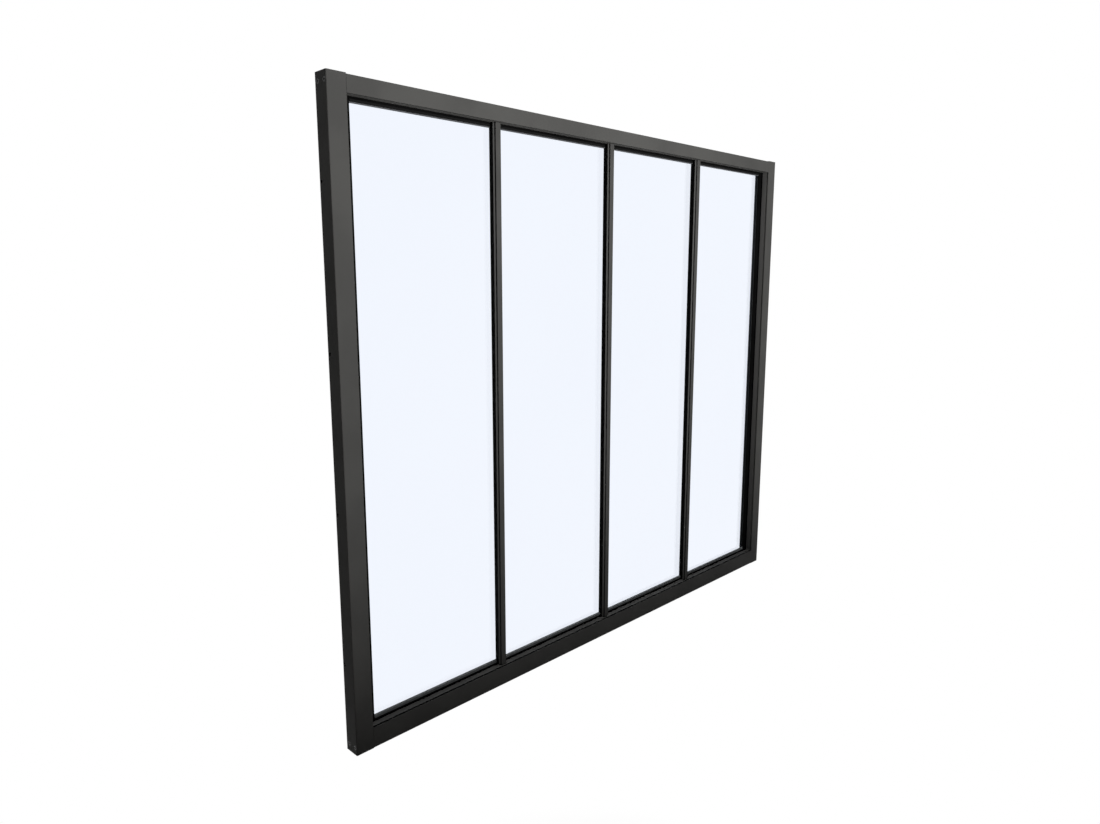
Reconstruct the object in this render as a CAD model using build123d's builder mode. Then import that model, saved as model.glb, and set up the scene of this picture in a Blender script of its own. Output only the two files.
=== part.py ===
"""A fixed interior window: a black aluminium frame, three slim glazing bars and four tall panes.

X runs along the window, Y from the room side to the back, and Z up. The origin is at the middle of
the sill's underside, half way through the depth of the frame. All sizes are in millimetres.
Each section is drawn with x inward from the member's outer face and y back from its front face.
"""

import os

from build123d import *

os.makedirs("parts", exist_ok=True)

# Overall sizes
WINDOW_WIDTH = 1250.0
WINDOW_HEIGHT = 1050.0
FRAME_DEPTH = 30.0
PANE_COUNT = 4

# Faces of the frame's members, and how far the head's top lies below the ends of the jambs
JAMB_FACE = 32.0
HEAD_FACE = 26.0
SILL_FACE = 36.0
HEAD_DROP = 1.0

# Walls and edges of the extrusions
FRAME_WALL = 1.6
LEG_WALL = 2.0
BEAD_WALL = 1.4
BAR_WALL = 1.3
ARRIS = 0.8
OUTER_ARRIS = 1.5
LIP_ARRIS = 0.5

# Front lip of the frame, the glazing channel behind it and the shadow line in its inner side
LIP_DEPTH = 16.0
CHANNEL = 6.0
SHADOW_FRONT = 1.0
SHADOW_WIDTH = 3.6
SHADOW_DEPTH = 2.4

# Glass, and how far the beads, seals and rear legs reach past the frame's face
GLASS = 4.0
GLASS_FRONT = 22.0
GLASS_EDGE_GAP = 4.0
GLASS_ARRIS = 0.4
JAMB_SIGHT = 14.5
RAIL_SIGHT = 8.5
JAMB_LEG = 15.0
RAIL_LEG = 2.5
LEG_MARGIN = 0.5

# Glazing bead and the pocket that its barbed foot snaps into
BEAD_BACK = 20.4
BEAD_HEEL_GAP = 0.4
POCKET_DEPTH = 2.4
POCKET_WIDTH = 3.8
POCKET_MOUTH = 2.4
POCKET_WALL = 1.2
BARB = 1.2
FIT = 0.15

# Gasket that grips the top of a rail's bead, and the plain strips elsewhere
GASKET_FRONT = 18.2
GASKET_HEAD = 3.5
GASKET_GRIP = 2.0
GASKET_LAND = 1.4
GASKET_SLOPE = 2.4
GASKET_ARRIS = 0.6
STRIP_COVER = 4.0
SEAL_END_GAP = 0.2

# Glazing bar: a carrier with a slim rear flange, and the cover that snaps over its stem
BAR_NOSE = 12.0
BAR_BODY = 16.0
BAR_FRONT = 7.0
BAR_NOSE_DEPTH = 3.0
BAR_SHOULDER = 2.0
BAR_BACK = 19.0
BAR_SEAT = 10.0
STEM = 2.6
STEM_FRONT = 10.0
STEM_GAP = 0.8
FLANGE = 8.0
FLANGE_FRONT = 26.6
FLANGE_WALL = 1.4
CLIP_WALL = 1.2
CLIP_HOOK = 0.5
CLIP_BACK = 17.0
FOOT = 3.0

# Blocks that carry the weight of each pane
BLOCK_LENGTH = 80.0

# Corner screws: ports inside the rails, and countersunk holes through the jambs in line with them
PORT_BORE = 3.8
PORT_WALL = 1.3
PORT_SLOT = 1.6
PORT_LINE = 12.0
PORT_INSET = 6.0
SCREW_BORE = 4.4
SCREW_HEAD = 8.4

# Holes for the screws that fix the jambs to the wall, hidden under the edges of the glass
FIXING_COUNT = 4
FIXING_SPACING = 250.0
FIXING_BORE = 5.0
FIXING_LINE = 25.4

FRONT = -FRAME_DEPTH / 2
HEAD_TOP = WINDOW_HEIGHT - HEAD_DROP
RAIL_LIGHT = WINDOW_WIDTH - 2 * JAMB_FACE
RAIL_LENGTH = RAIL_LIGHT + 2 * CHANNEL
LIGHT_LOW = SILL_FACE
LIGHT_HIGH = HEAD_TOP - HEAD_FACE
PANE_LIGHT = (RAIL_LIGHT - (PANE_COUNT - 1) * BAR_NOSE) / PANE_COUNT
GLASS_BACK = GLASS_FRONT + GLASS
LEG_FRONT = FRAME_DEPTH - LEG_WALL
CLIP_LINE = BEAD_BACK - BEAD_WALL / 2
GLASS_MIDDLE = FRONT + GLASS_FRONT + GLASS / 2
PORT_PLACES = (PORT_INSET, FRAME_DEPTH - PORT_INSET)

SIDES = {
    "left": Plane(origin=(-WINDOW_WIDTH / 2, FRONT, 0), x_dir=(1, 0, 0), z_dir=(0, 0, 1)),
    "right": Plane(origin=(WINDOW_WIDTH / 2, FRONT, 0), x_dir=(-1, 0, 0), z_dir=(0, 0, -1)),
    "head": Plane(origin=(0, FRONT, HEAD_TOP), x_dir=(0, 0, -1), z_dir=(1, 0, 0)),
    "sill": Plane(origin=(0, FRONT, 0), x_dir=(0, 0, 1), z_dir=(-1, 0, 0)),
}
RAIL_FACES = {"head": HEAD_FACE, "sill": SILL_FACE}


def bar_centre(number):
    """Place along X of glazing bar 1, 2 or 3."""
    pitch = PANE_LIGHT + BAR_NOSE
    return -RAIL_LIGHT / 2 + number * pitch - BAR_NOSE / 2


def block(left, right, front, back, mode=Mode.ADD):
    """Rectangle of a section, from its two sides and its front and back."""
    with Locations(((left + right) / 2, (front + back) / 2)):
        Rectangle(right - left, back - front, mode=mode)


def notch(low, high):
    """Box cut out of the part, from its lowest and highest corners."""
    low, high = Vector(*low), Vector(*high)
    size = high - low
    with Locations((low + high) / 2):
        Box(size.X, size.Y, size.Z, mode=Mode.SUBTRACT)


def section_plane(side, start):
    """Plane of a member's section, at a place along the member."""
    base = SIDES[side]
    along = {"left": (0, 0, 1), "right": (0, 0, 1), "head": (1, 0, 0), "sill": (1, 0, 0)}[side]
    return Plane(origin=base.origin + Vector(*along) * start, x_dir=base.x_dir, z_dir=base.z_dir)


def bead_pocket(floor):
    """Undercut pocket below the channel's floor, open through a narrow mouth."""
    roof = floor - FRAME_WALL
    half = POCKET_WIDTH / 2
    outer = half + POCKET_WALL
    mouth = POCKET_MOUTH / 2
    block(roof - POCKET_DEPTH - POCKET_WALL, roof, CLIP_LINE - outer, CLIP_LINE + outer)
    block(roof - POCKET_DEPTH, roof, CLIP_LINE - half, CLIP_LINE + half, Mode.SUBTRACT)
    block(roof, floor, CLIP_LINE - mouth, CLIP_LINE + mouth, Mode.SUBTRACT)


def shadow_line(face):
    """Groove beside the face's inner arris, with the wall made thicker behind it."""
    back = SHADOW_FRONT + SHADOW_WIDTH
    wall = face - FRAME_WALL
    block(wall - SHADOW_DEPTH, wall, FRAME_WALL, back + FRAME_WALL)
    block(face - SHADOW_DEPTH, face, SHADOW_FRONT, back, Mode.SUBTRACT)


def screw_ports():
    """Two open screw ports, each on a web from the front or the rear wall."""
    radius = PORT_BORE / 2 + PORT_WALL
    half = PORT_SLOT / 2
    for place, wall in zip(PORT_PLACES, (FRAME_WALL, FRAME_DEPTH - FRAME_WALL)):
        block(PORT_LINE - PORT_WALL, PORT_LINE + PORT_WALL, min(place, wall), max(place, wall))
        with Locations((PORT_LINE, place)):
            Circle(radius)
            Circle(PORT_BORE / 2, mode=Mode.SUBTRACT)
        mouth = place + radius if wall < place else place - radius
        block(PORT_LINE - half, PORT_LINE + half, min(place, mouth), max(place, mouth), Mode.SUBTRACT)


def frame_section(face, leg, ported):
    """Hollow box with a front lip, a glazing channel, a rear leg and the bead's pocket."""
    floor = face - CHANNEL
    with BuildLine() as outline:
        Polyline(
            (0, 0),
            (face, 0),
            (face, LIP_DEPTH),
            (floor, LIP_DEPTH),
            (floor, LEG_FRONT),
            (face + leg, LEG_FRONT),
            (face + leg, FRAME_DEPTH),
            (0, FRAME_DEPTH),
            close=True,
        )
    make_face(outline.edges())
    for corner, radius in (((0, 0), OUTER_ARRIS), ((face, 0), LIP_ARRIS), ((face, LIP_DEPTH), LIP_ARRIS)):
        fillet(vertices().sort_by_distance(corner)[0], radius)
    block(FRAME_WALL, face - FRAME_WALL, FRAME_WALL, LIP_DEPTH - FRAME_WALL, Mode.SUBTRACT)
    block(FRAME_WALL, floor - FRAME_WALL, FRAME_WALL, FRAME_DEPTH - FRAME_WALL, Mode.SUBTRACT)
    shadow_line(face)
    bead_pocket(floor)
    if ported:
        screw_ports()


def bead_section(face, top):
    """Glazing bead: a leg with a heel on the channel's floor and a barbed foot in the pocket."""
    floor = face - CHANNEL
    block(floor, floor + BEAD_WALL, LIP_DEPTH + BEAD_HEEL_GAP, BEAD_BACK)
    block(floor, top, BEAD_BACK - BEAD_WALL, BEAD_BACK)
    neck = POCKET_MOUTH / 2 - FIT
    barb = POCKET_WIDTH / 2 - 2 * FIT
    roof = floor - FRAME_WALL - FIT
    block(roof - BARB, floor, CLIP_LINE - neck, CLIP_LINE + neck)
    block(roof - BARB, roof, CLIP_LINE - barb, CLIP_LINE + barb)


def gasket_section(face):
    """Gasket with a sloped head, pushed down over the top of a rail's bead."""
    tip = face + RAIL_SIGHT
    bead_top = tip - GASKET_HEAD
    heel = bead_top - GASKET_GRIP
    slope = ((tip - GASKET_LAND, GASKET_FRONT), (tip, GASKET_FRONT + GASKET_SLOPE))
    with BuildLine() as outline:
        Polyline((heel, GASKET_FRONT), *slope, (tip, GLASS_FRONT), (heel, GLASS_FRONT), close=True)
    make_face(outline.edges())
    for corner in slope:
        fillet(vertices().sort_by_distance(corner)[0], GASKET_ARRIS)
    block(heel, bead_top + FIT, BEAD_BACK - BEAD_WALL - FIT, BEAD_BACK + FIT, Mode.SUBTRACT)


def cover_section():
    """Half outline of the glazing bar's cover, mirrored about the middle of the bar."""
    nose = BAR_NOSE / 2
    body = BAR_BODY / 2
    nose_back = BAR_FRONT + BAR_NOSE_DEPTH
    shoulder = nose_back + BAR_SHOULDER
    with BuildLine() as outline:
        Polyline(
            (0, BAR_FRONT),
            (nose, BAR_FRONT),
            (nose, nose_back),
            (body, shoulder),
            (body, BAR_BACK),
            (body - BAR_WALL - FOOT, BAR_BACK),
            (body - BAR_WALL - FOOT, BAR_BACK - BAR_WALL),
            (body - BAR_WALL, BAR_BACK - BAR_WALL),
            (body - BAR_WALL, shoulder + BAR_WALL / 2),
            (nose - BAR_WALL, nose_back + BAR_WALL / 2),
            (nose - BAR_WALL, BAR_FRONT + BAR_WALL),
            (0, BAR_FRONT + BAR_WALL),
            close=True,
        )
    make_face(outline.edges())
    fillet(vertices().sort_by_distance((nose, BAR_FRONT))[0], ARRIS)
    clip = STEM / 2 + FIT
    block(clip, clip + CLIP_WALL, BAR_FRONT + BAR_WALL / 2, CLIP_BACK)
    block(clip - CLIP_HOOK, clip, CLIP_BACK - CLIP_WALL, CLIP_BACK)
    mirror(about=Plane.YZ)


def carrier_section():
    """T section of the glazing bar's carrier: a slim rear flange and a notched stem."""
    block(-FLANGE / 2, FLANGE / 2, FLANGE_FRONT, FLANGE_FRONT + FLANGE_WALL)
    block(-STEM / 2, STEM / 2, STEM_FRONT, FLANGE_FRONT)
    outer = STEM / 2
    inner = outer - CLIP_HOOK - FIT
    for left, right in ((-outer, -inner), (inner, outer)):
        block(left, right, CLIP_BACK - CLIP_WALL - FIT, CLIP_BACK + FIT, Mode.SUBTRACT)


def write(piece, name):
    """Name the finished piece and write it to its file."""
    piece.part.label = name
    export_step(piece.part, f"parts/{name}.step")


def jamb_holes(outer, inward):
    """Countersunk corner screw holes and plain wall screw holes, through both walls of a jamb."""
    turn = (0, -90 * inward, 0)
    corners = [(place, level) for level in (PORT_LINE, HEAD_TOP - PORT_LINE) for place in PORT_PLACES]
    with Locations(*[Location((outer, FRONT + place, level), turn) for place, level in corners]):
        CounterSinkHole(SCREW_BORE / 2, SCREW_HEAD / 2, depth=JAMB_FACE)
    lowest = WINDOW_HEIGHT / 2 - (FIXING_COUNT - 1) * FIXING_SPACING / 2
    levels = [lowest + number * FIXING_SPACING for number in range(FIXING_COUNT)]
    with Locations(*[Location((outer, FRONT + FIXING_LINE, level), turn) for level in levels]):
        Hole(FIXING_BORE / 2, depth=JAMB_FACE)


def make_jambs():
    """Two full-height sides of the frame, with their rear legs notched for the rails."""
    for side, start in (("left", 0), ("right", WINDOW_HEIGHT)):
        outer = SIDES[side].origin.X
        inward = SIDES[side].x_dir.X
        leg = sorted((outer + inward * (JAMB_FACE - CHANNEL), outer + inward * (JAMB_FACE + JAMB_LEG)))
        with BuildPart() as jamb:
            with BuildSketch(section_plane(side, start)):
                frame_section(JAMB_FACE, JAMB_LEG, ported=False)
            extrude(amount=WINDOW_HEIGHT)
            for low, high in ((0, LIGHT_LOW - CHANNEL), (LIGHT_HIGH + CHANNEL, WINDOW_HEIGHT)):
                notch((leg[0], FRONT + LEG_FRONT, low), (leg[1], FRONT + FRAME_DEPTH, high))
            jamb_holes(outer, inward)
        write(jamb, f"{side}_jamb")


def make_rails():
    """Head and sill, with their ends notched round the lips and rear legs of the jambs."""
    end = RAIL_LENGTH / 2
    leg_end = end - CHANNEL - JAMB_LEG
    for side, start in (("head", -end), ("sill", end)):
        face = RAIL_FACES[side]
        outer = SIDES[side].origin.Z
        inward = SIDES[side].x_dir.Z
        lip = sorted((outer, outer + inward * face))
        leg = sorted((outer + inward * (face - CHANNEL), outer + inward * (face + RAIL_LEG)))
        with BuildPart() as rail:
            with BuildSketch(section_plane(side, start)):
                frame_section(face, RAIL_LEG, ported=True)
            extrude(amount=RAIL_LENGTH)
            for left, right in ((-end, CHANNEL - end), (end - CHANNEL, end)):
                notch((left, FRONT, lip[0]), (right, FRONT + LIP_DEPTH, lip[1]))
            for left, right in ((-end, -leg_end), (leg_end, end)):
                notch((left, FRONT + LEG_FRONT, leg[0]), (right, FRONT + FRAME_DEPTH, leg[1]))
        write(rail, f"{side}_rail")


def make_glazing_bars():
    """Carriers from channel to channel, and covers that stand between the lips of the rails."""
    low = LIGHT_LOW - CHANNEL
    high = LIGHT_HIGH + CHANNEL
    for number in range(1, PANE_COUNT):
        middle = bar_centre(number)
        foot = Plane(origin=(middle, FRONT, low), x_dir=(1, 0, 0), z_dir=(0, 0, 1))
        with BuildPart() as carrier:
            with BuildSketch(foot):
                carrier_section()
            extrude(amount=high - low)
            for start, end in ((low, LIGHT_LOW), (LIGHT_HIGH, high)):
                notch((middle - STEM, FRONT, start), (middle + STEM, FRONT + LIP_DEPTH + FIT, end))
        write(carrier, f"bar_{number}_carrier")
        with BuildPart() as cover:
            with BuildSketch(foot.offset(CHANNEL)):
                cover_section()
            extrude(amount=LIGHT_HIGH - LIGHT_LOW)
        write(cover, f"bar_{number}_cover")


def bay(number, frame_reach, bar_width=BAR_BODY):
    """Limits along X of one bay: the side of a bar, or a distance inside the face of a jamb."""
    left = -RAIL_LIGHT / 2 + frame_reach if number == 1 else bar_centre(number - 1) + bar_width / 2
    right = RAIL_LIGHT / 2 - frame_reach if number == PANE_COUNT else bar_centre(number) - bar_width / 2
    return left, right


def make_beads():
    """Head and sill beads of each bay, and the two jamb beads that stand between them."""
    rail_top = RAIL_SIGHT - GASKET_HEAD
    for number in range(1, PANE_COUNT + 1):
        left, right = bay(number, -CHANNEL)
        for side, start in (("head", left), ("sill", right)):
            with BuildPart() as bead:
                with BuildSketch(section_plane(side, start)):
                    bead_section(RAIL_FACES[side], RAIL_FACES[side] + rail_top)
                extrude(amount=right - left)
            write(bead, f"{side}_bead_{number}")
    low = LIGHT_LOW + rail_top
    high = LIGHT_HIGH - rail_top
    for side, start in (("left", low), ("right", high)):
        with BuildPart() as bead:
            with BuildSketch(section_plane(side, start)):
                bead_section(JAMB_FACE, JAMB_FACE + JAMB_SIGHT)
            extrude(amount=high - low)
        write(bead, f"{side}_jamb_bead")


def glass_limits(number):
    """Left and right edges along X of one pane, clear of the frame or of the bar's stem."""
    return bay(number, GLASS_EDGE_GAP - CHANNEL, STEM + 2 * STEM_GAP)


def make_panes():
    """Clear panes with polished edges."""
    low = LIGHT_LOW - CHANNEL + GLASS_EDGE_GAP
    high = LIGHT_HIGH + CHANNEL - GLASS_EDGE_GAP
    for number in range(1, PANE_COUNT + 1):
        left, right = glass_limits(number)
        with BuildPart() as pane:
            with Locations(((left + right) / 2, GLASS_MIDDLE, (low + high) / 2)):
                Box(right - left, GLASS, high - low)
            chamfer(pane.edges(), GLASS_ARRIS)
        write(pane, f"pane_{number}")


def upright_strips(number, at_frame, at_bar, bar_width):
    """Plain strips of seal along the two upright edges of one pane, between the given depths."""
    left, right = bay(number, JAMB_SIGHT, bar_width)
    cover = (bar_width - STEM) / 2 - STEM_GAP
    low = LIGHT_LOW + SEAL_END_GAP
    high = LIGHT_HIGH - SEAL_END_GAP
    for on_frame, edge, outward in ((number == 1, left, -1), (number == PANE_COUNT, right, 1)):
        width = STRIP_COVER if on_frame else cover
        front, back = at_frame if on_frame else at_bar
        with Locations((edge + outward * width / 2, FRONT + (front + back) / 2, (low + high) / 2)):
            Box(width, back - front, high - low)


def make_seals():
    """Seals round each pane: gaskets on the rails' beads, and plain strips everywhere else."""
    for number in range(1, PANE_COUNT + 1):
        left, right = bay(number, JAMB_SIGHT)
        left += SEAL_END_GAP
        right -= SEAL_END_GAP
        with BuildPart() as front_seal:
            for side, start in (("head", left), ("sill", right)):
                with BuildSketch(section_plane(side, start)):
                    gasket_section(RAIL_FACES[side])
                extrude(amount=right - left)
            upright_strips(number, (BEAD_BACK, GLASS_FRONT), (BAR_BACK, GLASS_FRONT), BAR_SEAT)
        write(front_seal, f"front_seal_{number}")
        left, right = bay(number, JAMB_SIGHT, FLANGE)
        left += SEAL_END_GAP
        right -= SEAL_END_GAP
        reach = RAIL_LEG - LEG_MARGIN - STRIP_COVER / 2
        with BuildPart() as rear_seal:
            for level in (LIGHT_LOW + reach, LIGHT_HIGH - reach):
                with Locations(((left + right) / 2, FRONT + (GLASS_BACK + LEG_FRONT) / 2, level)):
                    Box(right - left, LEG_FRONT - GLASS_BACK, STRIP_COVER)
            upright_strips(number, (GLASS_BACK, LEG_FRONT), (GLASS_BACK, FLANGE_FRONT), FLANGE)
        write(rear_seal, f"rear_seal_{number}")


def make_setting_blocks():
    """Two blocks under each pane, standing on the floor of the sill's channel."""
    level = LIGHT_LOW - CHANNEL + GLASS_EDGE_GAP / 2
    with BuildPart() as blocks:
        for number in range(1, PANE_COUNT + 1):
            left, right = glass_limits(number)
            quarter = (right - left) / 4
            with Locations((left + quarter, GLASS_MIDDLE, level), (right - quarter, GLASS_MIDDLE, level)):
                Box(BLOCK_LENGTH, GLASS, GLASS_EDGE_GAP)
    write(blocks, "setting_blocks")


make_jambs()
make_rails()
make_glazing_bars()
make_beads()
make_panes()
make_seals()
make_setting_blocks()
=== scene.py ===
"""Looks for a fixed interior window: black coated frame, three glazing bars and four clear panes.

X runs along the window, Y from the room side to the back and Z up. Everything is in metres.
"""

import logging
import math
from dataclasses import dataclass, field, replace
from enum import Enum

import bpy
import numpy as np
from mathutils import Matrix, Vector


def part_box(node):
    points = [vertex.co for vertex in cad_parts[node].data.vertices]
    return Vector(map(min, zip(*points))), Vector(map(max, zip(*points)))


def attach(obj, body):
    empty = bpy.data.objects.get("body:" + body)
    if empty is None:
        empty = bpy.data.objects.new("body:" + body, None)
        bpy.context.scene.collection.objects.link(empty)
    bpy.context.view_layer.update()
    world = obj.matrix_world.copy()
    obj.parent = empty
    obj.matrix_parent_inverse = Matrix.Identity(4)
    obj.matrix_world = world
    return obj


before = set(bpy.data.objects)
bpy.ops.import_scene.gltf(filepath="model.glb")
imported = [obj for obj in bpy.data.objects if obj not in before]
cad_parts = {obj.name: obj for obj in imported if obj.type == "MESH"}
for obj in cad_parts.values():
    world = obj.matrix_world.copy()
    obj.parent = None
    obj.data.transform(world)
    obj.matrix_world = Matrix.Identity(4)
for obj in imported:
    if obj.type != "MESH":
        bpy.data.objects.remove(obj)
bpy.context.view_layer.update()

BODY = "root"
MM = 0.001
WHITE = (1.0, 1.0, 1.0, 1.0)
BARS = range(1, 4)
BAYS = range(1, 5)

log = logging.getLogger("window")

Colour = tuple[float, float, float]
Limits = tuple[float, float]
Skin = tuple[np.ndarray, list]
Socket = bpy.types.NodeSocket


class Slot(Enum):
    """The record's material slots."""

    FRAME = "frame_metal"
    BAR = "bar_metal"
    BEAD = "bead_metal"
    GLASS = "clear_glass"
    SEAL = "seal_rubber"
    BLOCK = "setting_block_plastic"


class Side(Enum):
    """The two sides of the window, as the sign of X."""

    LEFT = -1
    RIGHT = 1


class Kind(Enum):
    """Socket kinds of a node group."""

    NUMBER = "NodeSocketFloat"
    COLOUR = "NodeSocketColor"
    VECTOR = "NodeSocketVector"


def opaque(colour: Colour) -> tuple[float, float, float, float]:
    """The colour with full alpha."""
    return (*colour, 1.0)


class Bench:
    """Puts nodes into one node tree and joins them.

    The Mix node gives its inputs the same names for every kind of data, so its share, its two
    colours and its mixed colour are found by their places.
    """

    mix_inputs = (0, 6, 7)
    mix_output = 2

    def __init__(self, tree: bpy.types.NodeTree) -> None:
        """Keeps the tree that nodes go into.

        Args:
            tree: the node tree of a material, a world or a group.
        """
        self.tree = tree

    def put(self, kind: str, inputs: dict | None = None, **settings: object) -> bpy.types.Node:
        """Adds one node.

        Args:
            kind: the node's type name.
            inputs: a value, or a socket to join, for each input by name or place.
            settings: the node's own properties.

        Returns:
            The new node.
        """
        node = self.tree.nodes.new(kind)
        for name, value in settings.items():
            setattr(node, name, value)
        for name, value in (inputs or {}).items():
            if isinstance(value, Socket):
                self.tree.links.new(value, node.inputs[name])
            else:
                node.inputs[name].default_value = value
        return node

    def maths(self, operation: str, *values: float | Socket, clamp: bool = False) -> Socket:
        """Adds one sum.

        Args:
            operation: the name of the Math node's operation.
            values: numbers or sockets, in the node's order.
            clamp: whether the result stays between 0 and 1.

        Returns:
            The result's socket.
        """
        node = self.put(
            "ShaderNodeMath", dict(enumerate(values)), operation=operation, use_clamp=clamp)
        return node.outputs[0]

    def between(
        self, share: float | Socket, first: Colour | Socket, second: Colour | Socket,
    ) -> Socket:
        """Mixes two colours.

        Args:
            share: how much of the second colour shows.
            first: colour where the share is 0.
            second: colour where the share is 1.

        Returns:
            The mixed colour's socket.
        """
        a, b = (c if isinstance(c, Socket) else opaque(c) for c in (first, second))
        inputs = dict(zip(self.mix_inputs, (share, a, b)))
        return self.put("ShaderNodeMix", inputs, data_type="RGBA").outputs[self.mix_output]

    def ramp(
        self, value: Socket, low: float, high: float,
        start: float | Socket = 0.0, end: float | Socket = 1.0,
    ) -> Socket:
        """Carries a range of values smoothly onto another.

        Args:
            value: the socket to read.
            low: the value that becomes start.
            high: the value that becomes end.
            start: lowest result.
            end: highest result.

        Returns:
            The result's socket.
        """
        limits = {"From Min": low, "From Max": high, "To Min": start, "To Max": end}
        node = self.put(
            "ShaderNodeMapRange", {"Value": value, **limits}, interpolation_type="SMOOTHSTEP")
        return node.outputs["Result"]

    def place(self) -> Socket:
        """Object coordinates, which are metres in the model's own frame."""
        return self.put("ShaderNodeTexCoord").outputs["Object"]

    def cloud(self, size: float | Socket, detail: float) -> Socket:
        """Noise in object coordinates.

        Args:
            size: width of its patches in metres.
            detail: how many finer layers it has.

        Returns:
            The noise value's socket, about 0.5 on the whole.
        """
        scale = self.maths("DIVIDE", 1.0, size)
        noise = {"Vector": self.place(), "Scale": scale, "Detail": detail}
        return self.put("ShaderNodeTexNoise", noise).outputs[0]


class EffectGroup:
    """One shared effect: a node group with named inputs and outputs."""

    def __init__(
        self, name: str, inputs: dict[str, tuple[Kind, object]], outputs: dict[str, Kind],
    ) -> None:
        """Makes the empty group.

        Args:
            name: the group's name.
            inputs: kind and usual value of each input.
            outputs: kind of each output.
        """
        self.tree = bpy.data.node_groups.new(name, "ShaderNodeTree")
        for label, (kind, usual) in inputs.items():
            socket = self.tree.interface.new_socket(label, in_out="INPUT", socket_type=kind.value)
            socket.default_value = usual
        for label, kind in outputs.items():
            self.tree.interface.new_socket(label, in_out="OUTPUT", socket_type=kind.value)
        self.bench = Bench(self.tree)
        self.given = self.bench.put("NodeGroupInput").outputs
        self.result = self.bench.put("NodeGroupOutput").inputs

    def give(self, label: str, value: Socket) -> None:
        """Joins a result to one of the group's outputs."""
        self.tree.links.new(value, self.result[label])

    def use(self, bench: Bench, **values: float | tuple | Socket) -> bpy.types.bpy_prop_collection:
        """Places the group in a material.

        Args:
            bench: the material's bench.
            values: what each input gets, by the input's name.

        Returns:
            The placed group's outputs.
        """
        node = bench.put("ShaderNodeGroup", node_tree=self.tree)
        for label, value in values.items():
            if isinstance(value, Socket):
                bench.tree.links.new(value, node.inputs[label])
            else:
                node.inputs[label].default_value = value
        return node.outputs


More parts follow.
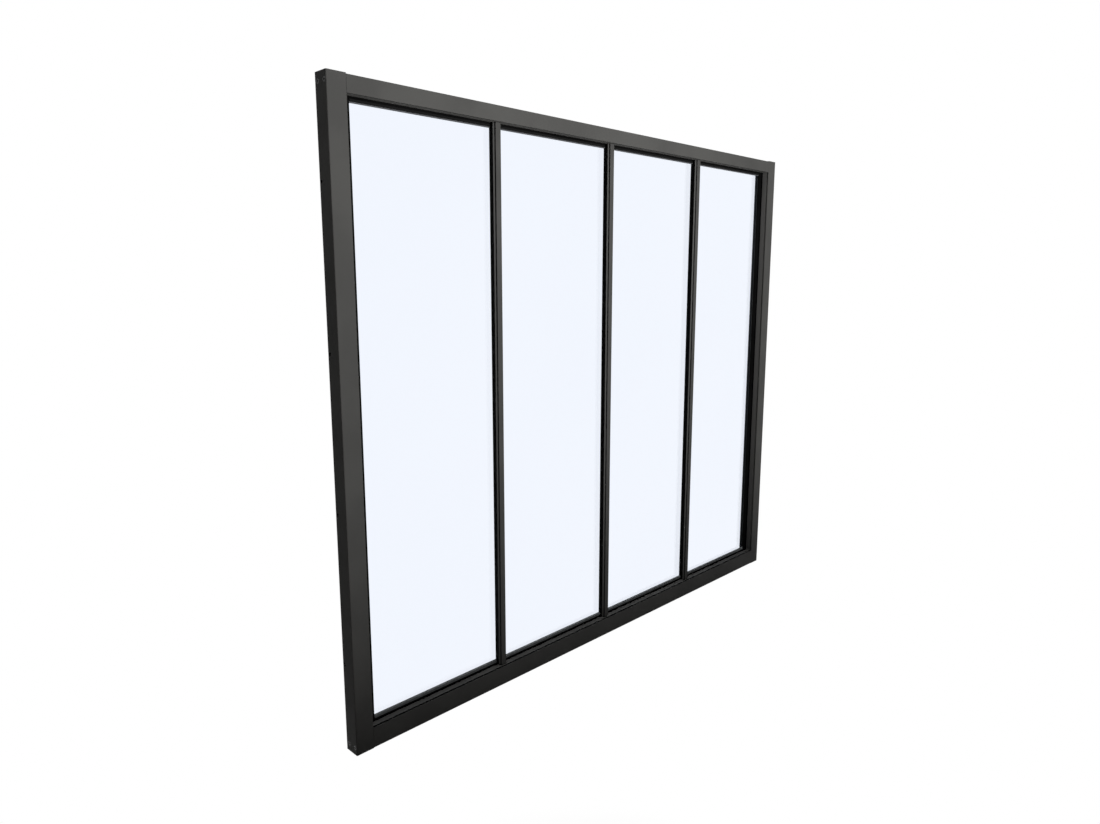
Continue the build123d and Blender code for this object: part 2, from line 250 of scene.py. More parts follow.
class Effects:
    """The effects that more than one finish uses, each built once.

    Limits are the reading at which an effect starts and the reading at which it is full.
    """

    shade_limits: Limits = (0.35, 0.65)
    gloss_limits: Limits = (0.3, 0.7)
    turned_limits: Limits = (0.995, 0.85)
    upward_limits: Limits = (0.5, 0.98)
    patchy_limits: Limits = (0.3, 0.75)
    foot_limits: Limits = (0.0, 0.001)
    covered_limits: Limits = (0.72, 0.42)
    band_limits: Limits = (0.0, 0.0001)
    arris_samples: int = 4
    sky_samples: int = 16

    def __init__(self) -> None:
        """Builds every group."""
        self.slow_shade = self.make_slow_shade()
        self.skin = self.make_skin()
        self.arris = self.make_arris()
        self.dust_and_light = self.make_dust_and_light()
        self.corner = self.make_recess_shade()
        self.light_band = self.make_light_band()

    def make_slow_shade(self) -> EffectGroup:
        """Two near shades of one colour in broad soft patches.

        Returns:
            The group, which gives Colour.
        """
        group = EffectGroup(
            "slow_shade",
            {
                "First": (Kind.COLOUR, WHITE),
                "Second": (Kind.COLOUR, WHITE),
                "Patch": (Kind.NUMBER, 0.1),
            },
            {"Colour": Kind.COLOUR},
        )
        bench, given = group.bench, group.given
        share = bench.ramp(bench.cloud(given["Patch"], detail=3.0), *self.shade_limits)
        group.give("Colour", bench.between(share, given["First"], given["Second"]))
        return group

    def make_skin(self) -> EffectGroup:
        """Fine relief of a sprayed or moulded skin, with the gloss a little uneven.

        Returns:
            The group, which gives Normal and Roughness.
        """
        group = EffectGroup(
            "fine_skin",
            {
                "Grain": (Kind.NUMBER, 0.001),
                "Depth": (Kind.NUMBER, 0.00001),
                "Smoothest": (Kind.NUMBER, 0.4),
                "Roughest": (Kind.NUMBER, 0.5),
                "Patch": (Kind.NUMBER, 0.05),
            },
            {"Normal": Kind.VECTOR, "Roughness": Kind.NUMBER},
        )
        bench, given = group.bench, group.given
        relief = bench.cloud(given["Grain"], detail=1.5)
        bump = bench.put("ShaderNodeBump", {
            "Strength": 1.0, "Distance": given["Depth"], "Height": relief})
        group.give("Normal", bump.outputs[0])
        patch = bench.cloud(given["Patch"], detail=4.0)
        gloss = bench.ramp(patch, *self.gloss_limits, given["Smoothest"], given["Roughest"])
        group.give("Roughness", gloss)
        return group

    def make_arris(self) -> EffectGroup:
        """Mask of sharp arrises, for painted shade on the frame and bar coats and for worn edges.

        The mask grows as the rounded normal turns away from the true one.

        Returns:
            The group, which gives Mask.
        """
        group = EffectGroup(
            "arris_wear_and_painted_shade",
            {"Reach": (Kind.NUMBER, 0.0008), "Amount": (Kind.NUMBER, 1.0)},
            {"Mask": Kind.NUMBER},
        )
        bench, given = group.bench, group.given
        rounded = bench.put(
            "ShaderNodeBevel", {"Radius": given["Reach"]}, samples=self.arris_samples)
        true = bench.put("ShaderNodeNewGeometry").outputs["Normal"]
        same = bench.put(
            "ShaderNodeVectorMath", {0: rounded.outputs[0], 1: true}, operation="DOT_PRODUCT")
        turned = bench.ramp(same.outputs["Value"], *self.turned_limits)
        group.give("Mask", bench.maths("MULTIPLY", turned, given["Amount"], clamp=True))
        return group

    def make_dust_and_light(self) -> EffectGroup:
        """Faint dust that settles on faces that look up, and painted light on every face below a
        height.

        Returns:
            The group, which gives Mask.
        """
        group = EffectGroup(
            "settled_dust_and_painted_light",
            {
                "Amount": (Kind.NUMBER, 0.1),
                "Patch": (Kind.NUMBER, 0.02),
                "Least": (Kind.NUMBER, 0.35),
                "Foot": (Kind.NUMBER, -1.0),
            },
            {"Mask": Kind.NUMBER},
        )
        bench, given = group.bench, group.given
        normal = bench.put("ShaderNodeNewGeometry").outputs["Normal"]
        upward = bench.put("ShaderNodeSeparateXYZ", {0: normal}).outputs["Z"]
        height = bench.put("ShaderNodeSeparateXYZ", {0: bench.place()}).outputs["Z"]
        # painted light: every face below the given height takes the mask in full
        low = bench.ramp(bench.maths("SUBTRACT", given["Foot"], height), *self.foot_limits)
        lying = bench.maths("MAXIMUM", bench.ramp(upward, *self.upward_limits), low)
        patch = bench.cloud(given["Patch"], detail=6.0)
        patchy = bench.ramp(patch, *self.patchy_limits, given["Least"])
        patchy_dust_and_light = bench.maths("MULTIPLY", lying, patchy)
        group.give("Mask", bench.maths("MULTIPLY", patchy_dust_and_light, given["Amount"], clamp=True))
        return group

    def make_recess_shade(self) -> EffectGroup:
        """Painted shade in grooves and tight inner corners, from how much of the sky is covered.

        Returns:
            The group, which gives Mask.
        """
        group = EffectGroup(
            "painted_recess_shade",
            {"Reach": (Kind.NUMBER, 0.005), "Amount": (Kind.NUMBER, 0.9)},
            {"Mask": Kind.NUMBER},
        )
        bench, given = group.bench, group.given
        sky = bench.put(
            "ShaderNodeAmbientOcclusion", {"Distance": given["Reach"]}, samples=self.sky_samples)
        covered = bench.ramp(sky.outputs["AO"], *self.covered_limits)
        group.give("Mask", bench.maths("MULTIPLY", covered, given["Amount"], clamp=True))
        return group

    def make_light_band(self) -> EffectGroup:
        """Painted light or shade on a band between two depths along Y, inside an upright outline
        of the window.

        Returns:
            The group, which gives Mask.
        """
        group = EffectGroup(
            "painted_light_band",
            {
                "Near": (Kind.NUMBER, 0.0),
                "Far": (Kind.NUMBER, 0.01),
                "Half": (Kind.NUMBER, 0.61),
                "Low": (Kind.NUMBER, 0.012),
                "High": (Kind.NUMBER, 1.043),
            },
            {"Mask": Kind.NUMBER},
        )
        bench, given = group.bench, group.given
        spot = bench.put("ShaderNodeSeparateXYZ", {0: bench.place()}).outputs
        aside = bench.maths("ABSOLUTE", spot["X"])
        gaps = [
            (spot["Y"], given["Near"]), (given["Far"], spot["Y"]), (given["Half"], aside),
            (spot["Z"], given["Low"]), (given["High"], spot["Z"]),
        ]
        mask = None
        for larger, smaller in gaps:
            within = bench.ramp(bench.maths("SUBTRACT", larger, smaller), *self.band_limits)
            mask = within if mask is None else bench.maths("MULTIPLY", mask, within)
        group.give("Mask", mask)
        return group


def new_material(name: str) -> tuple[bpy.types.Material, Bench]:
    """Makes a material with an empty node tree.

    Args:
        name: the material's name.

    Returns:
        The material and the bench of its tree.
    """
    material = bpy.data.materials.new(name)
    material.use_nodes = True
    material.node_tree.nodes.clear()
    return material, Bench(material.node_tree)


@dataclass(frozen=True)
class PaintedLightBand:
    """A stretch of the window's depth, in metres along Y, and the colour of painted light or shade
    there.

    The half is how far from the middle of the window the stretch goes, along X.
    """

    near: float
    far: float
    colour: Colour
    half: float = 0.61


def in_painted_light_bands(
    bench: Bench, effects: Effects, colour: Socket, painted_light_bands: tuple[PaintedLightBand, ...],
) -> Socket:
    """Lays each stretch's painted light or shade over a colour.

    Args:
        bench: the material's bench.
        effects: the shared effect groups.
        colour: the colour outside the bands.
        painted_light_bands: the stretches of depth and their colours.

    Returns:
        The banded colour's socket.
    """
    for light_band in painted_light_bands:
        mask = effects.light_band.use(bench, Near=light_band.near, Far=light_band.far, Half=light_band.half)["Mask"]
        colour = bench.between(mask, colour, light_band.colour)
    return colour


@dataclass(frozen=True)
class Finish:
    """A named finish in two near shades of one colour."""

    name: str
    first: Colour
    second: Colour

    def shade(self, bench: Bench, effects: Effects, patch: float) -> Socket:
        """Lays the two shades in broad soft patches.

        Args:
            bench: the material's bench.
            effects: the shared effect groups.
            patch: width of the patches in metres.

        Returns:
            The colour's socket.
        """
        first, second = opaque(self.first), opaque(self.second)
        return effects.slow_shade.use(bench, First=first, Second=second, Patch=patch)["Colour"]


@dataclass(frozen=True)
class CoatedMetal(Finish):
    """Satin powder coat: soft shades, fine spray skin, dust, and painted shade on arrises and in
    recesses.
    """

    # Arris colour: a painted shade on the frame and bar coats, a paler worn edge on the beads.
    arris_wear_and_shade: Colour
    dust_and_light_colour: Colour = (0.17, 0.168, 0.16)
    # Painted shade: the near-black colour laid in grooves and inner corners, how far it reaches
    # and how strong it is.
    recess: Colour = (0.004, 0.004, 0.004)
    recess_reach: float = 0.005
    recess_shade_amount: float = 0.9
    # Stretches of depth with painted light or shade.
    painted_light_bands: tuple[PaintedLightBand, ...] = ()
    patch: float = 0.12
    grain: float = 0.0011
    depth: float = 0.00002
    smoothest: float = 0.4
    roughest: float = 0.5
    specular: float = 0.1
    bend: float = 1.2
    arris_amount: float = 0.6
    dust_and_light_amount: float = 0.05
    dust_roughness: float = 0.3

    def make(self, effects: Effects) -> bpy.types.Material:
        """Builds the material.

        Args:
            effects: the shared effect groups.

        Returns:
            The finished material.
        """
        material, bench = new_material(self.name)
        shade = self.shade(bench, effects, self.patch)
        # painted shade along the arrises of the frame and bars, a paler worn edge on the beads
        arris_wear_and_shade = effects.arris.use(bench, Amount=self.arris_amount)["Mask"]
        dust_and_light = effects.dust_and_light.use(bench, Amount=self.dust_and_light_amount)["Mask"]
        # painted shade in grooves and inner corners, laid over the colour below
        recess_shade_mask = effects.corner.use(
            bench, Reach=self.recess_reach, Amount=self.recess_shade_amount)["Mask"]
        colour = bench.between(dust_and_light, bench.between(arris_wear_and_shade, shade, self.arris_wear_and_shade), self.dust_and_light_colour)
        colour = bench.between(recess_shade_mask, in_painted_light_bands(bench, effects, colour, self.painted_light_bands), self.recess)
        skin = effects.skin.use(
            bench, Grain=self.grain, Depth=self.depth,
            Smoothest=self.smoothest, Roughest=self.roughest)
        dulled = bench.maths("MULTIPLY", dust_and_light, self.dust_roughness)
        shader = bench.put("ShaderNodeBsdfPrincipled", {
            "Base Color": colour,
            "Roughness": bench.maths("ADD", skin["Roughness"], dulled),
            "Normal": skin["Normal"],
            "Specular IOR Level": self.specular,
            "IOR": self.bend,
        })
        bench.put("ShaderNodeOutputMaterial", {"Surface": shader.outputs[0]})
        return material


@dataclass(frozen=True)
class MouldedSkin(Finish):
    """Extruded rubber or moulded plastic: soft shades, fine skin, painted shade in recesses and
    bands, and dust.

    Below a given height, every face takes the pale colour as painted light.
    """

    dust_and_light_colour: Colour
    patch: float = 0.03
    grain: float = 0.0006
    depth: float = 0.00001
    smoothest: float = 0.55
    roughest: float = 0.7
    specular: float = 0.15
    bend: float = 1.3
    # Pale colour on faces that look up and below a given height: dust on the blocks, painted light
    # on the seals.
    dust_and_light_amount: float = 0.3
    dust_and_light_least: float = 0.35
    painted_light_below: float = -1.0
    # Painted shade: the near-black colour laid in grooves and inner corners, and how far it
    # reaches.
    recess: Colour = (0.004, 0.004, 0.004)
    recess_reach: float = 0.006
    # Stretches of depth with painted light or shade.
    painted_light_bands: tuple[PaintedLightBand, ...] = ()

    def make(self, effects: Effects) -> bpy.types.Material:
        """Builds the material.

        Args:
            effects: the shared effect groups.

        Returns:
            The finished material.
        """
        material, bench = new_material(self.name)
        shade = self.shade(bench, effects, self.patch)
        # dust on faces that look up; on the seals, painted light over every face low down at the
        # sill
        dust_and_light = effects.dust_and_light.use(
            bench, Amount=self.dust_and_light_amount, Least=self.dust_and_light_least, Foot=self.painted_light_below)["Mask"]
        skin = effects.skin.use(
            bench, Grain=self.grain, Depth=self.depth,
            Smoothest=self.smoothest, Roughest=self.roughest)
        # painted shade in grooves and inner corners
        recess_shade_mask = effects.corner.use(bench, Reach=self.recess_reach)["Mask"]
        colour = in_painted_light_bands(bench, effects, shade, self.painted_light_bands)
        colour = bench.between(recess_shade_mask, colour, self.recess)
        shader = bench.put("ShaderNodeBsdfPrincipled", {
            "Base Color": bench.between(dust_and_light, colour, self.dust_and_light_colour),
            "Roughness": skin["Roughness"],
            "Normal": skin["Normal"],
            "Specular IOR Level": self.specular,
            "IOR": self.bend,
        })
        bench.put("ShaderNodeOutputMaterial", {"Surface": shader.outputs[0]})
        return material


@dataclass(frozen=True)
class FloatGlass(Finish):
    """Clear float glass with a trace of blue and slight waviness. Lamps shine through it."""

    patch: float = 0.4
    wave: float = 0.3
    depth: float = 0.00002
    bend: float = 1.5
    gloss: Colour = (0.4, 0.4, 0.4)

    def make(self, effects: Effects) -> bpy.types.Material:
        """Builds the material.

        Args:
            effects: the shared effect groups.

        Returns:
            The finished material.
        """
        material, bench = new_material(self.name)
        shade = self.shade(bench, effects, self.patch)
        skin = effects.skin.use(bench, Grain=self.wave, Depth=self.depth)
        glass = bench.put("ShaderNodeBsdfPrincipled", {
            "Base Color": shade,
            "Roughness": 0.0,
            "IOR": self.bend,
            "Transmission Weight": 1.0,
            "Specular Tint": opaque(self.gloss),
            "Normal": skin["Normal"],
        })
        clear = bench.put("ShaderNodeBsdfTransparent", {"Color": opaque(self.first)})
        path = bench.put("ShaderNodeLightPath").outputs
        mixed = bench.put("ShaderNodeMixShader", {
            0: path["Is Shadow Ray"], 1: glass.outputs[0], 2: clear.outputs[0]})
        bench.put("ShaderNodeOutputMaterial", {"Surface": mixed.outputs[0]})
        return material


@dataclass(frozen=True)
class PlatedSteel(Finish):
    """Black plated steel: dark metal with cloudy gloss and slightly rubbed edges."""

    rubbed: Colour = (0.035, 0.034, 0.033)
    rubbed_reach: float = 0.0003
    rubbed_amount: float = 0.5
    patch: float = 0.002
    grain: float = 0.0003
    depth: float = 0.000004
    gloss_patch: float = 0.003
    smoothest: float = 0.3
    roughest: float = 0.5

    def make(self, effects: Effects) -> bpy.types.Material:
        """Builds the material.

        Args:
            effects: the shared effect groups.

        Returns:
            The finished material.
        """
        material, bench = new_material(self.name)
        shade = self.shade(bench, effects, self.patch)
        worn = effects.arris.use(
            bench, Reach=self.rubbed_reach, Amount=self.rubbed_amount)["Mask"]
        skin = effects.skin.use(
            bench, Grain=self.grain, Depth=self.depth, Patch=self.gloss_patch,
            Smoothest=self.smoothest, Roughest=self.roughest)
        shader = bench.put("ShaderNodeBsdfPrincipled", {
            "Base Color": bench.between(worn, shade, self.rubbed),
            "Metallic": 1.0,
            "Roughness": skin["Roughness"],
            "Normal": skin["Normal"],
        })
        bench.put("ShaderNodeOutputMaterial", {"Surface": shader.outputs[0]})
        return material


class Palette:
    """Every finish of the window, built once."""

    def __init__(self) -> None:
        """Builds the effects and the finishes."""
        effects = Effects()
        # Near black, painted in grooves and on flanks as painted shade.
        groove = (0.005, 0.005, 0.005)
        rail_coat = CoatedMetal(
            "rail_powder_coat", first=(0.080, 0.079, 0.076), second=(0.092, 0.091, 0.087),
            # painted shade on the arrises
            arris_wear_and_shade=(0.03, 0.03, 0.029),
            # painted shade: the shadow-line groove inside the lip of the head and sill is near
            # black
            painted_light_bands=(PaintedLightBand(-0.0144, -0.0105, groove, half=0.5925),))
        jamb_lit_coat = replace(
            # painted light: the lip's inner side and its shadow-line groove are painted paler, and
            # recesses get less painted shade
            rail_coat, name="jamb_coat_painted_light", recess_shade_amount=0.35,
            painted_light_bands=(PaintedLightBand(-0.0143, 0.0012, (0.145, 0.143, 0.138)),))
        bar_coat = CoatedMetal(
            "bar_powder_coat", first=(0.070, 0.069, 0.067), second=(0.082, 0.081, 0.078),
            # painted shade on the arrises
            arris_wear_and_shade=(0.03, 0.03, 0.029),
            # painted shade on the side of the nose, a painted highlight on the shoulder, painted
            # shade on the flanks to the glass
            painted_light_bands=(
                PaintedLightBand(-0.0078, -0.0053, groove),
                PaintedLightBand(-0.0052, -0.0029, (0.118, 0.117, 0.114)),
                PaintedLightBand(-0.0028, 0.0045, groove),
            ))
        # Matt black beads, painted near black as shade so that the gap behind the lip reads dark
        bead_shade_coat = CoatedMetal(
            "bead_black_painted_shade", first=(0.004, 0.004, 0.004), second=(0.006, 0.006, 0.006),
            arris_wear_and_shade=(0.012, 0.012, 0.012),
            smoothest=0.6, roughest=0.75, specular=0.01, dust_and_light_amount=0.02)
        glass = FloatGlass(
            "clear_float_glass", first=(0.882, 0.92, 0.996), second=(0.888, 0.925, 0.999))
        seal = MouldedSkin(
            "seal_rubber", first=(0.098, 0.101, 0.106), second=(0.11, 0.113, 0.118),
            # painted shade: the gasket's front face, in the lip's shadow, is painted near black
            dust_and_light_colour=(0.2, 0.21, 0.215), painted_light_bands=(PaintedLightBand(0.0028, 0.0034, (0.01, 0.01, 0.01)),),
            # painted light: the seals at the sill are painted pale, as if lit from above
            dust_and_light_amount=0.9, dust_and_light_least=0.75, painted_light_below=0.046)
        nylon = MouldedSkin(
            "block_nylon", first=(0.03, 0.03, 0.031), second=(0.04, 0.04, 0.041),
            dust_and_light_colour=(0.2, 0.2, 0.19), specular=0.3)
        steel = PlatedSteel(
            "black_plated_steel", first=(0.016, 0.016, 0.017), second=(0.03, 0.03, 0.029))
        finishes = {
            Slot.FRAME: rail_coat,
            Slot.BAR: bar_coat,
            Slot.BEAD: bead_shade_coat,
            Slot.GLASS: glass,
            Slot.SEAL: seal,
            Slot.BLOCK: nylon,
        }
        self.materials = {slot: finish.make(effects) for slot, finish in finishes.items()}
        self.jamb_lit_coat = jamb_lit_coat.make(effects)
        self.screw_steel = steel.make(effects)


class SubAssembly:
    """Pieces of one kind, with the palette that dresses them."""

    slot: Slot

    def __init__(self, palette: Palette) -> None:
        """Keeps the finishes.

        Args:
            palette: every finish of the window.
        """
        self.palette = palette

    def nodes(self) -> list[str]:
        """Names of the CAD nodes that this sub-assembly dresses."""
        return []

    def finish(self) -> bpy.types.Material:
        """The material of the sub-assembly's nodes."""
        return self.palette.materials[self.slot]

    def dress(self) -> None:
        """Gives each node of the sub-assembly its finish, and reports it."""
        for name in self.nodes():
            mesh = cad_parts[name].data
            mesh.materials.clear()
            mesh.materials.append(self.finish())
            log.info("dressed %s with %s", name, self.slot.value)


class Rails(SubAssembly):
    """The head and the sill."""

    slot = Slot.FRAME

    def nodes(self) -> list[str]:
        """The head and the sill."""
        return ["head_rail", "sill_rail"]


class Jambs(SubAssembly):
    """The two full-height sides of the frame."""

    slot = Slot.FRAME

    def nodes(self) -> list[str]:
        """The left and the right jamb."""
        return ["left_jamb", "right_jamb"]

    def finish(self) -> bpy.types.Material:
        """The frame's coat with painted light: the inner side of the lip is painted paler, with no
        dark shadow line.
        """
        return self.palette.jamb_lit_coat


class GlazingBars(SubAssembly):
    """Carriers and covers of the three bars."""

    slot = Slot.BAR

    def nodes(self) -> list[str]:
        """Each bar's carrier and cover."""
        return [f"bar_{number}_{part}" for number in BARS for part in ("carrier", "cover")]


class Beads(SubAssembly):
    """Glazing beads of the head, the sill and the jambs."""

    slot = Slot.BEAD

    def nodes(self) -> list[str]:
        """Head and sill beads of each bay, and the two jamb beads."""
        bays = [f"{rail}_bead_{number}" for rail in ("head", "sill") for number in BAYS]
        return bays + ["left_jamb_bead", "right_jamb_bead"]


class Panes(SubAssembly):
    """The four panes."""

    slot = Slot.GLASS

    def nodes(self) -> list[str]:
        """Each pane."""
        return [f"pane_{number}" for number in BAYS]


class Seals(SubAssembly):
    """Front gaskets and rear strips of each pane."""

    slot = Slot.SEAL

    def nodes(self) -> list[str]:
        """Front and rear seal of each pane."""
        return [f"{place}_seal_{number}" for place in ("front", "rear") for number in BAYS]


class SettingBlocks(SubAssembly):
    """Blocks under the panes."""

    slot = Slot.BLOCK

    def nodes(self) -> list[str]:
        """The one node that holds every block."""
        return ["setting_blocks"]


def ring_walls(rows: int, columns: int, first: int = 0) -> np.ndarray:
    """Quads between rings of points.

    The quad of row i and column j has corners (i, j), (i, j+1), (i+1, j+1) and (i+1, j).

    Args:
        rows: number of rings.
        columns: number of points in a ring.
        first: index of the first ring's first point.

    Returns:
        Corner indices as an array of quads by 4.
    """
    here = np.arange(columns)
    after = (here + 1) % columns
    base = first + np.arange(rows - 1)[:, None] * columns
    corners = [base + here, base + after, base + columns + after, base + columns + here]
    return np.stack(corners, -1).reshape(-1, 4)


def closed_rings(rings: np.ndarray, start: np.ndarray, end: np.ndarray) -> Skin:
    """Joins rings of points into a closed skin with a pole at each end.

    Quads join the rings, and a fan of triangles joins the first and the last ring to its pole.

    Args:
        rings: points as an array of rows by columns by 3.
        start: pole before the first ring.
        end: pole after the last ring.

    Returns:
        Points, and faces as lists of their indices.
    """
    rows, columns = rings.shape[:2]
    here = np.arange(columns)
    after = (here + 1) % columns
    quads = ring_walls(rows, columns, 1)
    last = 1 + (rows - 1) * columns
    pole = last + columns
    first_fan = np.stack([np.zeros(columns, int), 1 + after, 1 + here], -1)
    last_fan = np.stack([last + here, last + after, np.full(columns, pole)], -1)
    points = np.concatenate([start[None], rings.reshape(-1, 3), end[None]])
    return points, quads.tolist() + first_fan.tolist() + last_fan.tolist()


def merged(parts: list[Skin]) -> tuple[list, list]:
    """Joins skins into one, with each one's indices moved past the points before it.

    Args:
        parts: points and faces of each skin.

    Returns:
        Points and faces, as lists.
    """
    points, faces = [], []
    for more, skin in parts:
        faces += [[index + len(points) for index in face] for face in skin]
        points += more.tolist()
    return points, faces


class JambFitting(SubAssembly):
    """Small parts of one kind fitted to one jamb, as one piece."""

    def __init__(self, palette: Palette, side: Side) -> None:
        """Keeps the finishes and the side, and reads where the jamb stands.

        Args:
            palette: every finish of the window.
            side: the jamb that the parts are fitted to.
        """
        super().__init__(palette)
        self.side = side.name.lower()
        self.low, self.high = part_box(f"{self.side}_jamb")
        self.outer = self.low.x if side is Side.LEFT else self.high.x
        self.inward = -side.value

    def place(self, kind: str, parts: list[Skin], finish: bpy.types.Material) -> bpy.types.Object:
        """Puts the parts into the scene as one piece.

        Args:
            kind: what the parts are, for the piece's name.
            parts: points and faces of each part.
            finish: the piece's material.

        Returns:
            The finished object.
        """
        points, faces = merged(parts)
        name = f"{self.side}_{kind}"
        mesh = bpy.data.meshes.new(name)
        mesh.from_pydata(points, [], faces)
        mesh.materials.append(finish)
        piece = bpy.data.objects.new(name, mesh)
        bpy.context.scene.collection.objects.link(piece)
        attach(piece, BODY)
        log.info("built %s with %d faces", name, len(faces))
        return piece


@dataclass(frozen=True)
class ScrewSizes:
    """Sizes of a countersunk screw and its cross recess in millimetres, and where the screw sits.

    Columns and rings are counts, and the sharp angle is in degrees. The line is the screw's
    distance from the sill's foot or from the head's top, and the inset is its distance from the
    jamb's front or back.
    """

    columns: int = 40
    head_radius: float = 4.0
    head_sunk: float = 0.22
    head_middle: float = 0.15
    head_rings: int = 26
    rim: float = 0.25
    curve_rings: int = 5
    cone_slope: float = math.tan(math.radians(41.0))
    root_radius: float = 1.6
    crest_radius: float = 2.05
    pitch: float = 1.4
    pitch_rings: int = 6
    length: float = 50.0
    plain: float = 4.0
    plain_rings: int = 2
    tip: float = 5.0
    tip_end: float = 0.2
    tip_power: float = 0.6
    recess_reach: float = 2.25
    recess_half_width: float = 0.55
    recess_depth: float = 1.7
    wall_width: float = 0.35
    floor_share: float = 0.45
    sharp_angle: float = 38.0
    line: float = 12.0
    inset: float = 6.0

    @property
    def cone_low(self) -> float:
        """Depth at which the head's cone meets the neck."""
        return self.head_sunk + self.rim + (self.head_radius - self.crest_radius) / self.cone_slope

    @property
    def thread_start(self) -> float:
        """Depth at which the neck ends and the thread starts."""
        return self.cone_low + self.plain


class CornerScrews(JambFitting):
    """Countersunk screws through the jambs into the screw ports of the rails."""

    slot = Slot.BEAD
    sizes = ScrewSizes()

    def profile(self) -> tuple[np.ndarray, np.ndarray]:
        """Radius and depth of the screw's skin, from the middle of its head to its tip.

        The head is a flat disc with a rounded rim, then a cone at the countersink's slope, a plain
        neck and a threaded stretch that narrows to the tip.

        Returns:
            Radii and depths in millimetres, each a row of numbers.
        """
        s = self.sizes
        disc = np.linspace(s.head_middle, s.head_radius - s.rim, s.head_rings)
        turn = np.linspace(0.0, np.pi / 2, s.curve_rings)[1:]
        neck = np.linspace(s.cone_low, s.thread_start, s.plain_rings + 2)[1:-1]
        thread = np.arange(s.thread_start, s.length - s.tip_end, s.pitch / s.pitch_rings)
        radii = [
            disc,
            s.head_radius - s.rim + s.rim * np.sin(turn),
            np.linspace(s.head_radius, s.crest_radius, s.curve_rings)[1:],
            np.full(len(neck), s.crest_radius),
            np.full(len(thread), s.crest_radius),
        ]
        depths = [
            np.full(len(disc), s.head_sunk),
            s.head_sunk + s.rim * (1 - np.cos(turn)),
            np.linspace(s.head_sunk + s.rim, s.cone_low, s.curve_rings)[1:],
            neck,
            thread,
        ]
        return np.concatenate(radii), np.concatenate(depths)

    def recess(self, across: np.ndarray, up: np.ndarray) -> np.ndarray:
        """Depth of the cross recess: two crossed slots with sloped walls, deepest in the middle.

        Args:
            across: first coordinate of the points in the head's plane, in millimetres.
            up: second coordinate.

        Returns:
            How far each point lies below the head.
        """
        s = self.sizes
        slots = []
        for along, aside in ((across, up), (up, across)):
            wall = (s.recess_half_width + s.wall_width / 2 - np.abs(aside)) / s.wall_width
            floor = (s.recess_reach - np.abs(along)) / (s.recess_reach * s.floor_share)
            slots.append(np.clip(wall, 0, 1) * np.clip(floor, 0, 1))
        return s.recess_depth * np.maximum(*slots)

    def screw(self, y: float, z: float) -> Skin:
        """Skin of one screw, whose head lies in the outer side of the jamb.

        Radius is r = crest - (crest - root) * |2 * frac(depth / pitch - angle / turn) - 1| on the
        threaded stretch, times a share that falls to the tip.

        Args:
            y: Y of the screw's axis in metres.
            z: Z of the screw's axis in metres.

        Returns:
            Points in metres, and faces.
        """
        s = self.sizes
        radii, depths = self.profile()
        angle = np.arange(s.columns) * 2 * np.pi / s.columns
        radius = np.repeat(radii[:, None], s.columns, 1)
        depth = np.repeat(depths[:, None], s.columns, 1)
        groove = np.abs(2 * np.mod(depth / s.pitch - angle / (2 * np.pi), 1.0) - 1)
        fade = np.clip((depth - s.thread_start) / s.pitch, 0, 1)
        cut = fade * (s.crest_radius - s.root_radius) * groove
        radius = np.where(depth >= s.thread_start, radius - cut, radius)
        radius = radius * np.clip((s.length - depth) / s.tip, 0, 1) ** s.tip_power
        across, up = radius * np.cos(angle), radius * np.sin(angle)
        depth = depth + np.where(depth <= s.head_sunk, self.recess(across, up), 0.0)
        x = self.outer + self.inward * depth * MM
        rings = np.stack([x, y + across * MM, z + up * MM], -1)
        middle = s.head_sunk + s.recess_depth
        head = np.array([self.outer + self.inward * middle * MM, y, z])
        tip = np.array([self.outer + self.inward * s.length * MM, y, z])
        points, faces = closed_rings(rings, head, tip)
        return points, faces if self.inward < 0 else [face[::-1] for face in faces]

    def build(self) -> bpy.types.Object:
        """Builds the jamb's four screws as one piece.

        Returns:
            The finished object.
        """
        line, inset = self.sizes.line * MM, self.sizes.inset * MM
        head_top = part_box("head_rail")[1].z
        screws = [
            self.screw(y, z)
            for z in (line, head_top - line)
            for y in (self.low.y + inset, self.high.y - inset)
        ]
        piece = self.place("corner_screws", screws, self.palette.screw_steel)
        piece.data.shade_smooth()
        piece.data.set_sharp_from_angle(angle=math.radians(self.sizes.sharp_angle))
        return piece


@dataclass(frozen=True)
class CapSizes:
    """Sizes of a moulded plug in the end of a jamb, in millimetres.

    The outline is the inside of the jamb's hollow: each corner's distance from the jamb's outer
    side and from its front. Ease is the share of the arris that its middle ring stands back.
    """

    outline: tuple[tuple[float, float], ...] = (
        (1.6, 1.6), (28.0, 1.6), (28.0, 6.2), (30.4, 6.2), (30.4, 14.4), (24.4, 14.4),
        (24.4, 16.6), (20.8, 16.6), (20.8, 22.8), (24.4, 22.8), (24.4, 28.4), (1.6, 28.4))
    fit: float = 0.1
    arris: float = 0.4
    ease: float = 0.3
    sunk: float = 0.3
    depth: float = 4.0


